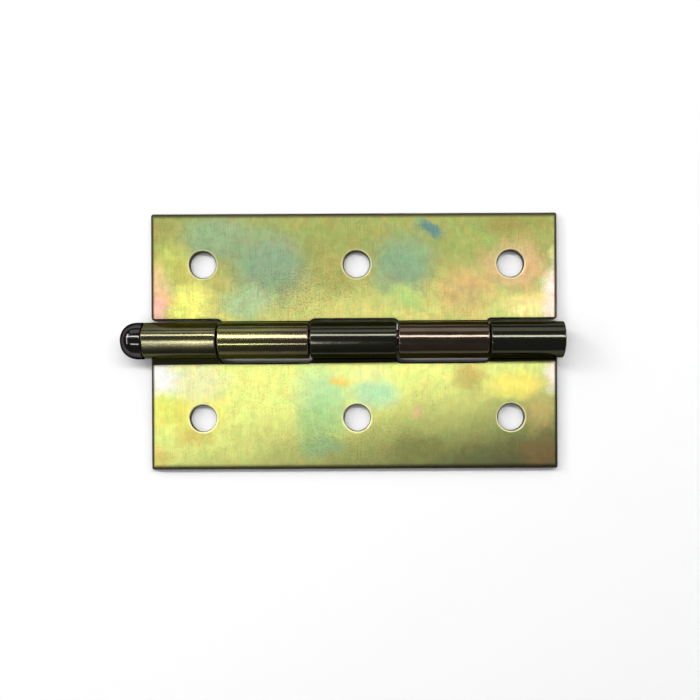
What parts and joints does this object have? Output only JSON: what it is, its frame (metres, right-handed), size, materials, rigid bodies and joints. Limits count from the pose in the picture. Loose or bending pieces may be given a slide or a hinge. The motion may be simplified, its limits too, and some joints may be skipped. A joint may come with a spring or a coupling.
{
  "type": "door hinge",
  "caption": "Steel butt hinge with plain screw holes, rolled knuckles and a loose pin with a domed head, laid open flat.",
  "frame": {"origin": "on the plane of the leaves' backs, at mid length of the leaves, straight under the pin's axis", "axes": "+X along the barrel from the pin's head to its tip, +Y across the leaf with two knuckles, +Z out of the leaves' fronts, the side on which the barrel stands proud"},
  "size_m": [0.1094, 0.064, 0.0091],
  "materials": {
    "leaf_plating": "yellow iridescent zinc plating over rolled steel sheet, satin with fine lengthwise and crosswise grain",
    "pin_plating": "dark iridescent zinc plating over turned steel, glossy"
  },
  "bodies": {
    "fixed_leaf": {"leaf_with_three_knuckles": "leaf_plating"},
    "swinging_leaf": {"leaf_with_two_knuckles": "leaf_plating"},
    "pin": {"hinge_pin": "pin_plating"}
  },
  "joints": [
    {"name": "leaf_swing", "type": "hinge", "parent": "fixed_leaf", "child": "swinging_leaf", "pos_m": [0, 0, 0.00455], "axis": [1, 0, 0], "range_deg": [-92, 189]},
    {"name": "pin_slide", "type": "slide", "parent": "fixed_leaf", "child": "pin", "axis": [-1, 0, 0], "range_m": [0, 0.104]}
  ]
}
